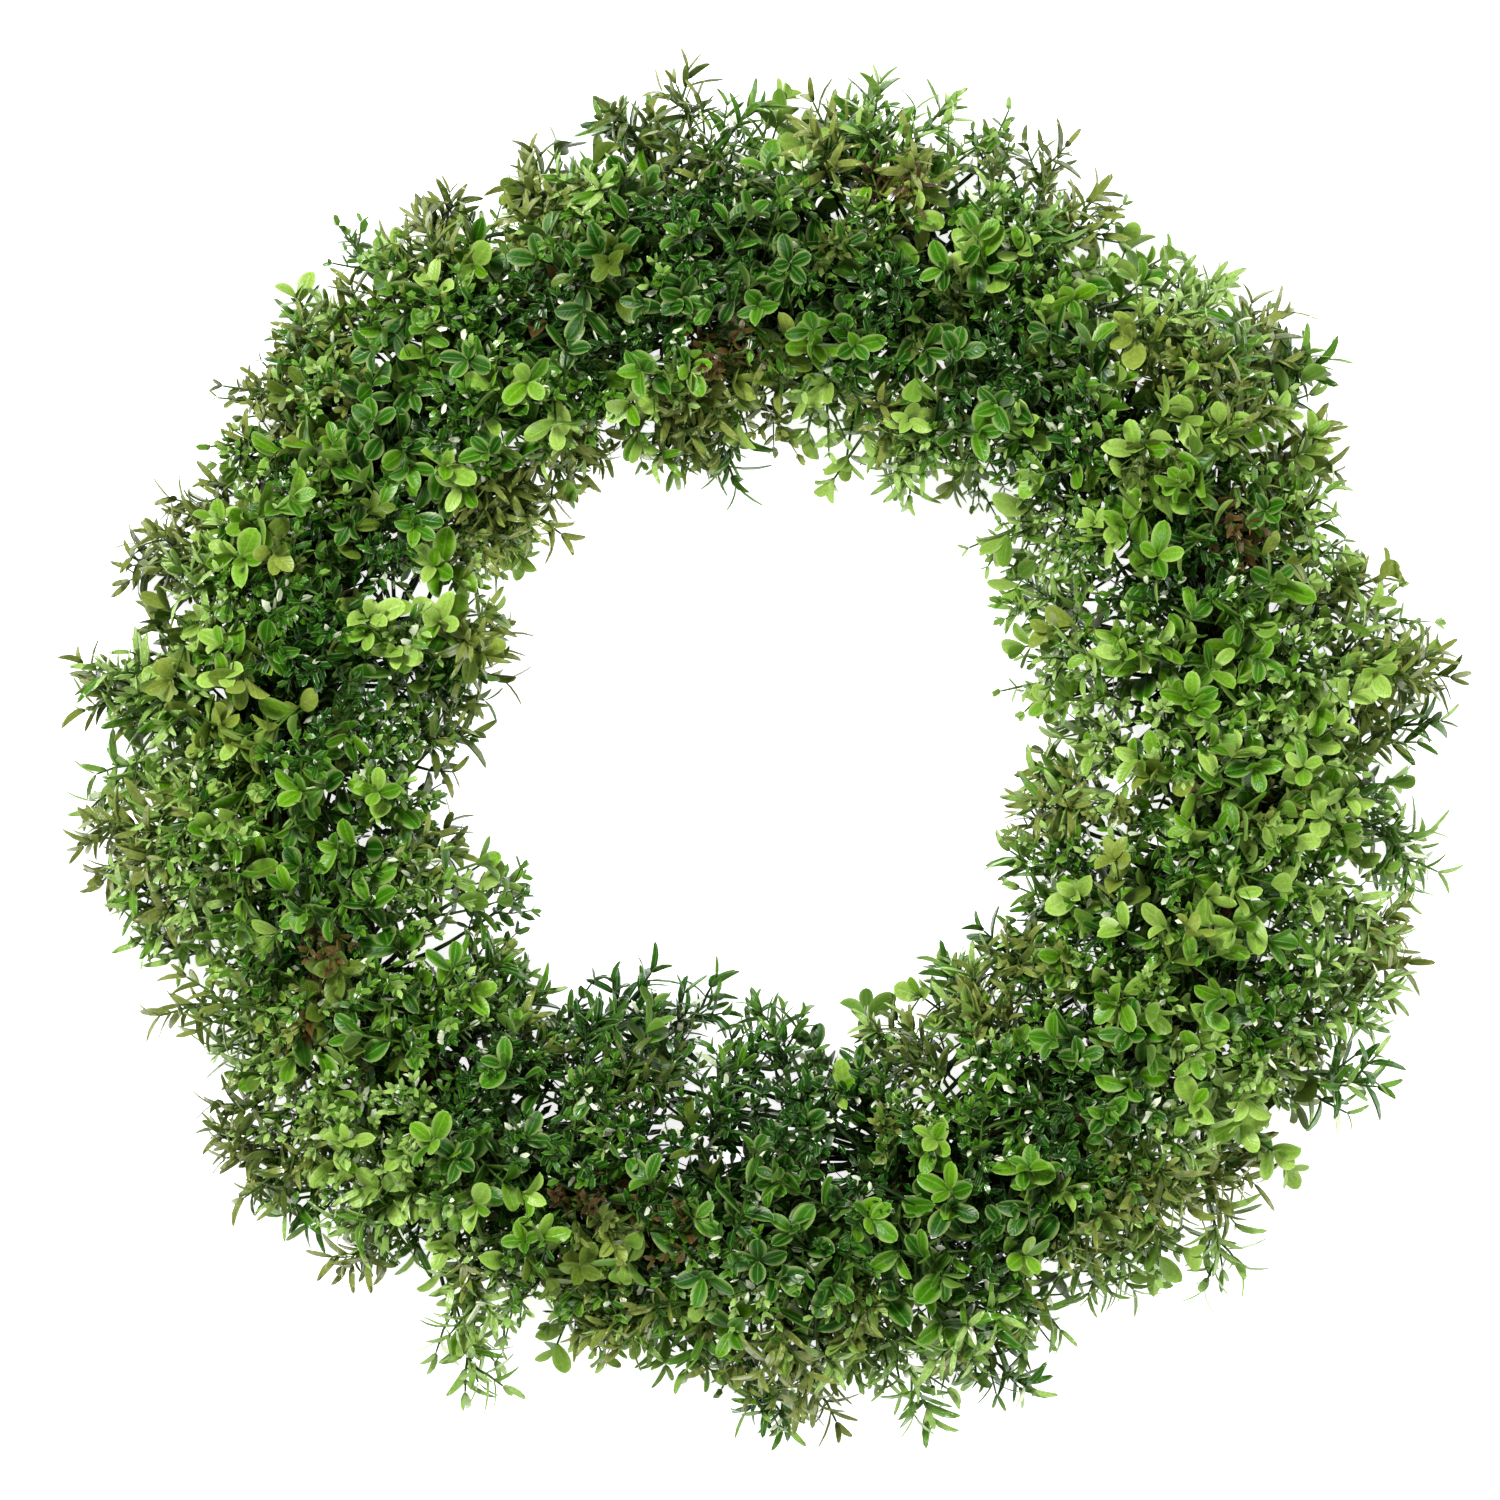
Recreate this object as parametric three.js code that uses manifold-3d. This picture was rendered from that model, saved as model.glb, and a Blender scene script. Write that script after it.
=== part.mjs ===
// Boxwood wreath: leafy sprigs seated all round a ring of three twisted vines. Millimetres, +Z up.
// It lies on its back with its face up. The origin is the middle of the ring, at the surface it lies on.
import * as THREE from "three";
import { mergeVertices } from "three/addons/utils/BufferGeometryUtils.js";
import Module from "manifold-3d";

const wasm = await Module();
wasm.setup();

// Driving dimensions
const wreathDiameter = 560; // over the leaf tips
const ringRadius = 190; // centreline of the vine ring
const foliageDepth = wreathDiameter / 2 - ringRadius; // how far the tips stand out from that centreline

const vineCount = 3;
const vineRadius = 7;
const twistRadius = 8.9; // from the ring's centreline to the middle of each vine
const twistTurns = 6; // whole turns round the ring, so that each vine closes on itself
const vineSteps = 8 * twistTurns;
const vineSides = 5;
const restCut = 1.1; // the vines' lowest backs are worn flat by this much, where the wreath lies on them
const ringHeight = twistRadius + vineRadius - restCut;

const seatGap = 0.3; // between a sprig's foot and the vine that it is seated on
const sprigGap = 0.55; // from each blade to the edge of its own sprig's space
const floorGap = 2.5; // from the lowest blade to the surface

const bladeThickness = 0.9;
const leaf = { length: 32, width: 18 };
const whorl = { size: 1.15, smaller: 0.86, centre: 1.8, arch: 0.25, lowerLift: 6, upperLift: 26 };
const shoot = { length: 56, leafTurn: 66, sideLeaf: 0.92, lift: 0.3, arch: 0.25 };
const frond = { length: 56, width: 50, pairs: 3, bare: 0.16, taper: 0.17, lift: 0.12, arch: 0.25 };
const stalk = { half: 1.2, sunk: 4 };
const twig = { radius: 1.5, sunk: 6, height: 24, sides: 3 };
const tiltUp = 0.6; // how far the blades' faces turn up towards the wreath's own face
const jitter = { across: 0.1, up: 0.16, reach: 0.12 }; // how far each shoot strays, end to end of its range
const reach = 0.96; // where the tips stand on the average, as a share of the foliage's depth

// The dense inside of a sprig: where it starts, is widest and ends, out from the ring's centreline.
// Its eight corners reach towards the sides and the corners of the sprig's space
const core = { start: 4, widest: 40, end: 54, toSides: 0.94, toCorners: 0.74 };
const rooting = { depth: 10, share: 0.2 }; // how deep in the core a shoot starts, and how far off its axis

// Where the shoots and fronds of a sprig end, as shares of the half width and half height of its space
const fivePlaces = [
  [-0.88, -0.1],
  [-0.44, 0.62],
  [-0.02, -0.5],
  [0.44, 0.66],
  [0.9, 0.0],
];
const fourPlaces = [
  [-0.85, -0.1],
  [-0.3, 0.68],
  [0.32, -0.55],
  [0.86, 0.4],
];
const cornerPlaces = [
  [-0.78, -0.5],
  [0.7, -0.64],
  [0.78, 0.5],
  [-0.7, 0.64],
];
const ringPlaces = [
  [-0.8, -0.4],
  [0.1, -0.8],
  [0.85, -0.1],
  [0.45, 0.8],
  [-0.6, 0.6],
];

// Each row of sprigs leans out from the ring between two angles: 0 is straight outward, 90 up, 180 inward
const rows = [
  { name: "outer", sprigs: 14, low: -14, high: 42, turn: 0.0, shoots: fivePlaces, fronds: fourPlaces },
  { name: "front", sprigs: 13, low: 42, high: 138, turn: 0.5, shoots: cornerPlaces, fronds: ringPlaces },
  { name: "inner", sprigs: 9, low: 138, high: 194, turn: 0.25, shoots: fourPlaces, fronds: fourPlaces },
];

const barkBrown = new THREE.MeshStandardMaterial({ color: 0x5a4430, roughness: 0.9, metalness: 0 });
const leafGreen = new THREE.MeshStandardMaterial({ color: 0x5f8a2c, roughness: 0.5, metalness: 0 });
const fineGreen = new THREE.MeshStandardMaterial({ color: 0x35602f, roughness: 0.5, metalness: 0 });

const radians = THREE.MathUtils.degToRad;
const wreath = new THREE.Group();
wreath.name = "boxwood_wreath";

// A repeatable random number from 0 to 1
function chance(sprig, part, use) {
  const mixed = Math.sin(sprig * 12.9898 + part * 78.233 + use * 37.719) * 43758.5453;
  return mixed - Math.floor(mixed);
}

const spread = (sprig, part, use, width) => (chance(sprig, part, use) - 0.5) * width;

function solidOf(geometry) {
  const bare = geometry.index ? geometry.toNonIndexed() : geometry.clone();
  bare.deleteAttribute("normal");
  bare.deleteAttribute("uv");
  const merged = mergeVertices(bare, 1e-4);
  return new wasm.Manifold(
    new wasm.Mesh({
      numProp: 3,
      vertProperties: merged.attributes.position.array,
      triVerts: new Uint32Array(merged.index.array),
    }),
  );
}

function geometryOf(solid) {
  const mesh = solid.getMesh();
  const geometry = new THREE.BufferGeometry();
  geometry.setAttribute("position", new THREE.BufferAttribute(mesh.vertProperties, 3));
  geometry.setIndex(new THREE.BufferAttribute(mesh.triVerts, 1));
  return geometry;
}

function addMesh(name, solid, material) {
  const flat = geometryOf(solid).toNonIndexed();
  flat.computeVertexNormals();
  const mesh = new THREE.Mesh(flat, material);
  mesh.name = name;
  wreath.add(mesh);
}

// The vine ring

class VineCurve extends THREE.Curve {
  constructor(phase) {
    super();
    this.phase = phase;
  }

  getPoint(share, target = new THREE.Vector3()) {
    const angle = share * 2 * Math.PI;
    const twist = angle * twistTurns + this.phase;
    const across = ringRadius + twistRadius * Math.cos(twist);
    return target.set(
      across * Math.cos(angle),
      across * Math.sin(angle),
      ringHeight + twistRadius * Math.sin(twist),
    );
  }
}

function vineSolid(index, radius) {
  const curve = new VineCurve((2 * Math.PI * index) / vineCount);
  return solidOf(new THREE.TubeGeometry(curve, vineSteps, radius, vineSides, true));
}

const grownRing = Array.from({ length: vineCount }, (_, index) => vineSolid(index, vineRadius + seatGap))
  .reduce((joined, vine) => joined.add(vine));

// The space of one sprig, and points in it

function makeSpace(row, index, number) {
  return {
    number,
    row,
    angle: ((index + row.turn) * 2 * Math.PI) / row.sprigs,
    halfAngle: Math.PI / row.sprigs,
    low: radians(row.low),
    high: radians(row.high),
    lean: radians((row.low + row.high) / 2),
    halfLean: radians((row.high - row.low) / 2),
  };
}

// A point in the space: across and up run from -1 to 1 between its sides, out is from the ring's centreline
function pointIn(space, across, up, out) {
  const lean = space.lean + up * space.halfLean;
  const angle = space.angle + across * space.halfAngle;
  const radius = ringRadius + out * Math.cos(lean);
  return new THREE.Vector3(
    radius * Math.cos(angle),
    radius * Math.sin(angle),
    ringHeight + out * Math.sin(lean),
  );
}

// How far a point is inside its sprig's space, less than 0 outside it
function clearance(space, point) {
  const radius = Math.hypot(point.x, point.y);
  let turn = Math.atan2(point.y, point.x) - space.angle;
  turn -= 2 * Math.PI * Math.round(turn / (2 * Math.PI));
  const outward = radius - ringRadius;
  const upward = point.z - ringHeight;
  return Math.min(
    radius * Math.sin(space.halfAngle - Math.abs(turn)) - sprigGap,
    upward * Math.cos(space.low) - outward * Math.sin(space.low) - sprigGap,
    outward * Math.sin(space.high) - upward * Math.cos(space.high) - sprigGap,
    point.z - floorGap,
  );
}

// Blades: an outline with a thickness, and a height at each point of it

function bladeGeometry(points, heightAt) {
  const shape = new THREE.Shape(points.map(([x, y]) => new THREE.Vector2(x, y)));
  const blade = new THREE.ExtrudeGeometry(shape, { depth: bladeThickness, bevelEnabled: false });
  const position = blade.attributes.position;
  for (let i = 0; i < position.count; i++) {
    const height = heightAt(position.getX(i), position.getY(i));
    position.setZ(i, position.getZ(i) - bladeThickness / 2 + height);
  }
  return blade;
}

// The edge of one leaf that starts at a point and turns off by an angle: broadest past its middle
function leafEdge(x, y, turn, scale) {
  const along = new THREE.Vector2(Math.cos(turn), Math.sin(turn)).multiplyScalar(leaf.length * scale);
  const across = new THREE.Vector2(-Math.sin(turn), Math.cos(turn)).multiplyScalar(leaf.width * scale);
  const corners = [
    [0.58, -0.5],
    [0.95, -0.22],
    [0.95, 0.22],
    [0.58, 0.5],
  ];
  return corners.map(([far, aside]) => [
    x + far * along.x + aside * across.x,
    y + far * along.y + aside * across.y,
  ]);
}

// Four leaves in two crossed pairs, joined at their stalks: one pair rises more steeply than the other
function whorlGeometry(scale) {
  const points = [0, 1, 2, 3].flatMap((turn) => {
    const angle = (turn * Math.PI) / 2;
    const valley = angle - Math.PI / 4;
    const start = [whorl.centre * Math.cos(valley), whorl.centre * Math.sin(valley)];
    return [start, ...leafEdge(0, 0, angle, turn % 2 ? scale * whorl.smaller : scale)];
  });
  const low = Math.tan(radians(whorl.lowerLift));
  const high = Math.tan(radians(whorl.upperLift));
  return bladeGeometry(points, (x, y) => {
    const out = Math.hypot(x, y);
    const share = (x * x) / (out * out);
    return out * (low * share + high * (1 - share) - (whorl.arch * out) / leaf.length);
  });
}

// A stalk that ends in three leaves
function shootGeometry(scale) {
  const fork = (shoot.length - leaf.length) * scale;
  const turn = radians(shoot.leafTurn);
  const points = [
    [-stalk.sunk, -stalk.half],
    [fork - 1.5 * stalk.half, -stalk.half],
    ...leafEdge(fork, 0, -turn, scale * shoot.sideLeaf),
    [fork + 1.5 * stalk.half, -stalk.half],
    ...leafEdge(fork, 0, 0, scale),
    [fork + 1.5 * stalk.half, stalk.half],
    ...leafEdge(fork, 0, turn, scale * shoot.sideLeaf),
    [fork - 1.5 * stalk.half, stalk.half],
    [-stalk.sunk, stalk.half],
  ];
  const length = shoot.length * scale;
  return bladeGeometry(points, (x, y) => {
    return shoot.lift * Math.abs(y) - shoot.arch * length * (Math.max(x, 0) / length) ** 2;
  });
}

// A flat spray of leaflets in pairs along one stalk, with one more at its tip
function frondGeometry(scale) {
  const length = frond.length * scale;
  const half = (frond.width * scale) / 2;
  const step = (length * (0.86 - frond.bare)) / frond.pairs;
  const side = [];
  for (let pair = 0; pair < frond.pairs; pair++) {
    const start = length * frond.bare + pair * step;
    side.push([start, stalk.half], [start + step, half * (1 - frond.taper * pair)]);
  }
  side.push([length * 0.82, stalk.half], [length * 0.9, half * 0.2]);
  const mirrored = side.map(([x, y]) => [x, -y]);
  const foot = [-stalk.sunk, stalk.half];
  const points = [[foot[0], -foot[1]], ...mirrored, [length, 0], ...side.reverse(), foot];
  return bladeGeometry(points, (x, y) => {
    return frond.lift * Math.abs(y) - frond.arch * length * (Math.max(x, 0) / length) ** 2;
  });
}

// The blade's own X runs along the first direction, and its face looks along the second
function turned(root, along, face) {
  const across = new THREE.Vector3().crossVectors(face, along).normalize();
  const normal = new THREE.Vector3().crossVectors(along, across);
  return new THREE.Matrix4().makeBasis(along, across, normal).setPosition(root);
}

function leastClearance(space, geometry) {
  const position = geometry.attributes.position;
  const corner = new THREE.Vector3();
  let least = Infinity;
  for (let i = 0; i < position.count; i++) {
    least = Math.min(least, clearance(space, corner.fromBufferAttribute(position, i)));
  }
  return least;
}

// Tries a blade at full size, then leaned in towards the middle of its space, then smaller, until it is clear
function fitted(space, build) {
  for (let attempt = 0; attempt < 30; attempt++) {
    const lean = Math.min(attempt, 12) * 0.055;
    const scale = 1 - Math.max(attempt - 5, 0) * 0.03;
    const blade = build(lean, scale);
    if (leastClearance(space, blade) >= 0) {
      return solidOf(blade);
    }
  }
  return null;
}

// The dense inside of a sprig, from its foot on the vines to the roots of its shoots
function coreSolid(space) {
  const profile = [
    new THREE.Vector2(0, core.start),
    new THREE.Vector2(1, core.widest),
    new THREE.Vector2(0, core.end),
  ];
  const lathe = new THREE.LatheGeometry(profile, 8);
  const position = lathe.attributes.position;
  for (let i = 0; i < position.count; i++) {
    const x = position.getX(i);
    const z = position.getZ(i);
    const segment = Math.round(Math.atan2(x, z) / (Math.PI / 4));
    const share = segment % 2 ? core.toCorners * Math.SQRT2 : core.toSides;
    const corner = pointIn(space, z * share, x * share, position.getY(i));
    position.setXYZ(i, corner.x, corner.y, corner.z);
  }
  return solidOf(lathe);
}

function twigSolid(start, end) {
  const length = start.distanceTo(end);
  const geometry = new THREE.CylinderGeometry(twig.radius * 0.8, twig.radius, length, twig.sides);
  const along = end.clone().sub(start).normalize();
  const turn = new THREE.Quaternion().setFromUnitVectors(new THREE.Vector3(0, 1, 0), along);
  geometry.translate(0, length / 2, 0).applyQuaternion(turn).translate(start.x, start.y, start.z);
  return solidOf(geometry);
}

const axisOf = (space) => pointIn(space, 0, 0, 1).sub(pointIn(space, 0, 0, 0)).normalize();

// One shoot or frond, from its root inside the core to its place at the edge of the sprig
function sprayPiece(space, index, place, spray, sprayGeometry) {
  const across = place[0] + spread(space.number, index, 1, jitter.across);
  const up = place[1] + spread(space.number, index, 2, jitter.up);
  const out = foliageDepth * (reach + spread(space.number, index, 3, jitter.reach));
  const skin = THREE.MathUtils.lerp(core.end, core.widest, rooting.share);
  const start = pointIn(space, across * rooting.share, up * rooting.share, skin - rooting.depth);
  const end = pointIn(space, across, up, out);
  const along = end.clone().sub(start).normalize();
  const size = end.distanceTo(start) / spray.length;
  const outward = axisOf(space);
  const facing = outward.clone().add(new THREE.Vector3(0, 0, tiltUp)).normalize();
  return fitted(space, (lean, scale) => {
    const direction = along.clone().lerp(outward, lean).normalize();
    return sprayGeometry(size * scale).applyMatrix4(turned(start, direction, facing));
  });
}

// A whorl on a short twig, on top of the core
function topWhorl(space) {
  const outward = axisOf(space);
  const aside = new THREE.Vector3(-Math.sin(space.angle), Math.cos(space.angle), 0);
  aside.applyAxisAngle(outward, spread(space.number, 9, 1, Math.PI));
  const start = pointIn(space, 0, 0, core.end - twig.sunk);
  const end = pointIn(space, 0, 0, core.end + twig.height);
  const leaves = fitted(space, (lean, scale) => {
    return whorlGeometry(whorl.size * scale).applyMatrix4(turned(end, aside, outward));
  });
  return [twigSolid(start, end), leaves];
}

function boxwoodPieces(space) {
  const shoots = space.row.shoots.map((place, index) => {
    return sprayPiece(space, index, place, shoot, shootGeometry);
  });
  return space.row.name === "front" ? [...shoots, ...topWhorl(space)] : shoots;
}

function finePieces(space) {
  return space.row.fronds.map((place, index) => {
    return sprayPiece(space, index, place, frond, frondGeometry);
  });
}

// A sprig is joined in one body, and its foot is cut to sit on the vines
function sprigSolid(space, pieces) {
  const whole = pieces.filter(Boolean).reduce((joined, piece) => joined.add(piece), coreSolid(space));
  const bodies = whole.subtract(grownRing).decompose();
  return bodies.reduce((largest, body) => (body.volume() > largest.volume() ? body : largest));
}

for (let index = 0; index < vineCount; index++) {
  const vine = vineSolid(index, vineRadius).trimByPlane([0, 0, 1], 0);
  addMesh("vine_" + (index + 1), vine, barkBrown);
}

let number = 0;
rows.forEach((row, rowIndex) => {
  for (let index = 0; index < row.sprigs; index++) {
    number += 1;
    const space = makeSpace(row, index, number);
    const broad = (index + rowIndex) % 2 === 0;
    const solid = sprigSolid(space, broad ? boxwoodPieces(space) : finePieces(space));
    const kind = broad ? "boxwood_sprig_" : "fine_sprig_";
    const name = kind + row.name + "_" + String(index + 1).padStart(2, "0");
    addMesh(name, solid, broad ? leafGreen : fineGreen);
  }
});

export default wreath;
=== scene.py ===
# Boxwood wreath: broad-leaved and fine-leaved sprigs seated on a ring of three twisted vines.
# It lies face up. Shapes are made in millimetres and brought to metres as each piece is finished.

import math
import random

import bmesh
import bpy
import numpy as np
from mathutils import Matrix, Vector, noise


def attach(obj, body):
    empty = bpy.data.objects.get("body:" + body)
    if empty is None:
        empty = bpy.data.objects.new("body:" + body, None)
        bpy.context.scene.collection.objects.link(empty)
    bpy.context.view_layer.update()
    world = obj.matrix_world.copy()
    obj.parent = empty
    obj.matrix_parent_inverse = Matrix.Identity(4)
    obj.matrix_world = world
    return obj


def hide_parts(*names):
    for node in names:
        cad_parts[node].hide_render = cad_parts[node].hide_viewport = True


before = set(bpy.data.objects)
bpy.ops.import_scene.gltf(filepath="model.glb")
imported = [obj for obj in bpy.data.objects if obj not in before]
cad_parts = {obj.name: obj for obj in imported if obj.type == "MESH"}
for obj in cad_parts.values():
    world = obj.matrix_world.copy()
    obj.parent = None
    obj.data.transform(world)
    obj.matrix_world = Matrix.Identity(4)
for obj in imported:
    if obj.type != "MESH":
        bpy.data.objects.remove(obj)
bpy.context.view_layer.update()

mm = 0.001
fullTurn = 2 * math.pi
goldenTurn = math.radians(137.5)

ring = {"radius": 190, "height": 14.8}  # the middle line of the vine ring, above the surface

# Every leaf and twig lies on one card of this map: columns are its tone, rows are what it is
cardMap = "OFBake"
cards = {"columns": 16, "rows": 8, "margin": 0.04}
cardUse = 1 - 2 * cards["margin"]  # the share of a card inside its margins
cardRows = {"broadTop": 0, "broadBack": 1, "fineTop": 2, "fineBack": 3, "twig": 4}
tones = {"darkest": 0, "middle": 6, "lightest": 11, "olive": 12, "dry": 14}  # olive and dry are two wide


def mix(a, b, share):
    return a + (b - a) * share


def clamp(value, low, high):
    return max(low, min(high, value))


def stray(draw, most):  # a random amount either way
    return draw.uniform(-most, most)


# Material helpers

class Wire:  # a socket that can be written into sums
    def __init__(self, finish, socket):
        self.finish = finish
        self.socket = socket

    def maths(self, operation, *others):
        return self.finish.add("Math", {"operation": operation}, *others)

    def __add__(self, other):
        return self.maths("ADD", self, other)

    def __radd__(self, other):
        return self.maths("ADD", other, self)

    def __sub__(self, other):
        return self.maths("SUBTRACT", self, other)

    def __rsub__(self, other):
        return self.maths("SUBTRACT", other, self)

    def __mul__(self, other):
        return self.maths("MULTIPLY", self, other)

    def __rmul__(self, other):
        return self.maths("MULTIPLY", other, self)

    def __truediv__(self, other):
        return self.maths("DIVIDE", self, other)

    def whole(self):
        return self.maths("FLOOR", self)

    def part(self):
        return self.maths("FRACT", self)

    def size(self):
        return self.maths("ABSOLUTE", self)

    def wave(self):
        return self.maths("SINE", self)

    def larger(self, other):
        return self.maths("MAXIMUM", self, other)

    def between(self, low, high):  # 0 below low, 1 above high, smooth in between
        return self.finish.add("MapRange", {"interpolation_type": "SMOOTHSTEP"},
                               Value=self, **{"From Min": low, "From Max": high})


class Finish:  # one material and its nodes
    def __init__(self, name):
        self.material = bpy.data.materials.new(name)
        self.material.use_nodes = True
        self.tree = self.material.node_tree
        self.shader = self.tree.nodes["Principled BSDF"]

    def put(self, socket, value):
        if isinstance(value, Wire):
            self.tree.links.new(value.socket, socket)
        else:
            socket.default_value = value

    def add(self, kind, settings, *values, out=0, **named):
        node = self.tree.nodes.new("ShaderNode" + kind)
        for key, value in settings.items():
            setattr(node, key, value)
        for socket, value in zip(node.inputs, values):
            self.put(socket, value)
        for key, value in named.items():
            self.put(node.inputs[key], value)
        return Wire(self, node.outputs[out])

    def ramp(self, position, stops):
        node = self.tree.nodes.new("ShaderNodeValToRGB")
        elements = node.color_ramp.elements
        elements[0].position, elements[0].color = stops[0][0], (*stops[0][1], 1)
        elements[1].position, elements[1].color = stops[-1][0], (*stops[-1][1], 1)
        for place, shade in stops[1:-1]:
            elements.new(place).color = (*shade, 1)
        self.put(node.inputs[0], position)
        return Wire(self, node.outputs[0])

    def blend(self, share, first, second, how="MIX"):  # colours have sockets 6 and 7, and result 2
        node = self.tree.nodes.new("ShaderNodeMix")
        node.data_type = "RGBA"
        node.blend_type = how
        self.put(node.inputs[0], share)
        self.put(node.inputs[6], first)
        self.put(node.inputs[7], second)
        return Wire(self, node.outputs[2])

    def grain(self, vector, scale, detail):
        return self.add("TexNoise", {}, Vector=vector, Scale=scale, Detail=detail)

    def bump(self, height, strength, distance):
        return self.add("Bump", {}, Height=height, Strength=strength, Distance=distance)

    def wear(self, **sockets):
        for key, value in sockets.items():
            self.put(self.shader.inputs[key.replace("_", " ")], value)


def colour(red, green, blue):  # screen colours 0 to 255 as the shader's own, by the sRGB formula
    return tuple(((c / 255 + 0.055) / 1.055) ** 2.4 if c > 10 else c / 3294 for c in (red, green, blue))


# Leaf, twig and bark finishes

broadLook = {  # tones are the ramp over the cards' columns: greens, then two olives and two dry browns
    "tones": [(0.0, colour(20, 69, 1)), (0.25, colour(46, 100, 2)), (0.5, colour(88, 137, 8)),
              (0.733, colour(146, 176, 78)), (0.8, colour(76, 98, 24)), (0.867, colour(118, 136, 50)),
              (0.933, colour(84, 66, 28)), (1.0, colour(60, 44, 22))],
    # the rim colour is a pale leaf edge: partly the leaf's own paler margin, partly a painted rim highlight
    "paleRimAndSheen": colour(190, 208, 130), "rimStart": 0.45, "rimSheenShare": 0.32, "rib": 0.14,
    "back": colour(128, 154, 78), "backShare": 0.3,
    "veins": 7.0, "roughness": 0.34, "mottle": 0.35, "gloss": 0.21,
}
# the fine ramp's lightest column is near white: the pale leaflets given it are painted glints
fineLook = {
    "tones": [(0.0, colour(16, 64, 1)), (0.25, colour(38, 88, 3)), (0.5, colour(74, 120, 12)),
              (0.666, colour(134, 166, 80)), (0.733, colour(214, 224, 190)), (0.8, colour(70, 86, 26)),
              (0.867, colour(112, 124, 54)), (0.933, colour(80, 62, 28)), (1.0, colour(58, 42, 22))],
    # the rim colour here too is partly the leaf's own paler margin, partly a painted rim highlight
    "paleRimAndSheen": colour(190, 208, 150), "rimStart": 0.6, "rimSheenShare": 0.28, "rib": 0.1,
    "back": colour(100, 132, 62), "backShare": 0.25,
    "veins": 0.0, "roughness": 0.2, "mottle": 0.4, "gloss": 0.32,
}
# for both kinds of leaf: a mottle has a scale and a detail, and a bump has a strength and a distance
leafDetail = {"mottle": (90.0, 3.0), "mottleRange": (0.25, 0.75), "footShade": 0.86, "shadeRise": 0.3,
              "tipRim": 0.9, "ribWidth": 0.13, "oliveFade": 0.7, "mottleDepth": 0.3, "ribDepth": 0.5,
              "veinSlant": 0.28, "veinDepth": 0.1, "roughnessSpread": 0.3, "bump": (0.35, 0.0006)}


def leafFinish(name, look):
    detail = leafDetail
    finish = Finish(name)
    place = finish.add("UVMap", {"uv_map": cardMap})
    x = finish.add("SeparateXYZ", {}, place, out=0) * cards["columns"]
    y = finish.add("SeparateXYZ", {}, place, out=1) * cards["rows"]
    column, row = x.whole(), y.whole()
    across = (x.part() * 2 - 1).size() / cardUse  # 0 on the rib, 1 at the rim
    along = (y.part() - cards["margin"]) / cardUse  # 0 at the stalk, 1 at the tip
    isBack = (row * 0.5).part() * 2  # backs have the odd rows
    mottle = finish.grain(place, *detail["mottle"])
    body = finish.ramp(column / (cards["columns"] - 1), look["tones"])
    shade = mottle.between(*detail["mottleRange"]) * look["mottle"] + (1 - look["mottle"] / 2)
    shade = shade * (detail["footShade"] + detail["shadeRise"] * along)
    body = finish.blend(1.0, body, finish.add("CombineXYZ", {}, shade, shade, shade), "MULTIPLY")
    # the pale rim and tip are partly the leaf's own paler edge and partly a painted rim highlight
    paleRimAndSheen = across.between(look["rimStart"], 1.0).larger(along.between(detail["tipRim"], 1.0))
    rib = 1 - across.between(0.0, detail["ribWidth"])
    isOlive = column.between(tones["olive"] - 0.6, tones["olive"] - 0.4)  # or dry
    green = 1 - isOlive * detail["oliveFade"]
    body = finish.blend((paleRimAndSheen * look["rimSheenShare"] + rib * look["rib"]) * green, body, (*look["paleRimAndSheen"], 1))
    body = finish.blend(isBack * look["backShare"] * green, body, (*look["back"], 1))
    relief = mottle * detail["mottleDepth"] - rib * detail["ribDepth"]
    if look["veins"]:
        slant = along - across * detail["veinSlant"]
        relief = relief + (slant * (look["veins"] * fullTurn)).wave() * detail["veinDepth"]
    spread = detail["roughnessSpread"]
    finish.wear(Base_Color=body, Roughness=mottle * spread + (look["roughness"] - spread / 2),
                Normal=finish.bump(relief, *detail["bump"]), Specular_IOR_Level=look["gloss"])
    return finish.material


twigLook = {"root": colour(30, 56, 10), "tip": colour(70, 102, 28), "dark": colour(20, 38, 8),
            "shades": (3.0, 9.0), "darkRange": (0.4, 0.65), "darkShare": 0.6, "grain": (160.0, 4.0),
            "roughness": 0.55, "roughnessSpread": 0.2, "bump": (0.4, 0.0005), "gloss": 0.2}


def twigFinish():
    look = twigLook
    finish = Finish("twigFinish")
    place = finish.add("UVMap", {"uv_map": cardMap})
    column = (finish.add("SeparateXYZ", {}, place, out=0) * cards["columns"]).whole()
    grain = finish.grain(place, *look["grain"])
    body = finish.blend(column.between(*look["shades"]), (*look["root"], 1), (*look["tip"], 1))
    body = finish.blend(grain.between(*look["darkRange"]) * look["darkShare"], body, (*look["dark"], 1))
    finish.wear(Base_Color=body, Roughness=look["roughness"] + look["roughnessSpread"] * grain,
                Normal=finish.bump(grain, *look["bump"]), Specular_IOR_Level=look["gloss"])
    return finish.material


barkLook = {"pale": colour(138, 110, 76), "mid": colour(94, 68, 42), "deep": colour(46, 32, 20),
            "paleRange": (0.3, 0.7), "deepRange": (0.48, 0.62), "deepShare": 0.75,
            "coarse": (60.0, 5.0), "fibre": (420.0, 4.0), "fibreDepth": 0.6,
            "roughness": 0.7, "roughnessSpread": 0.2, "bump": (0.7, 0.0012), "gloss": 0.2}


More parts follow.
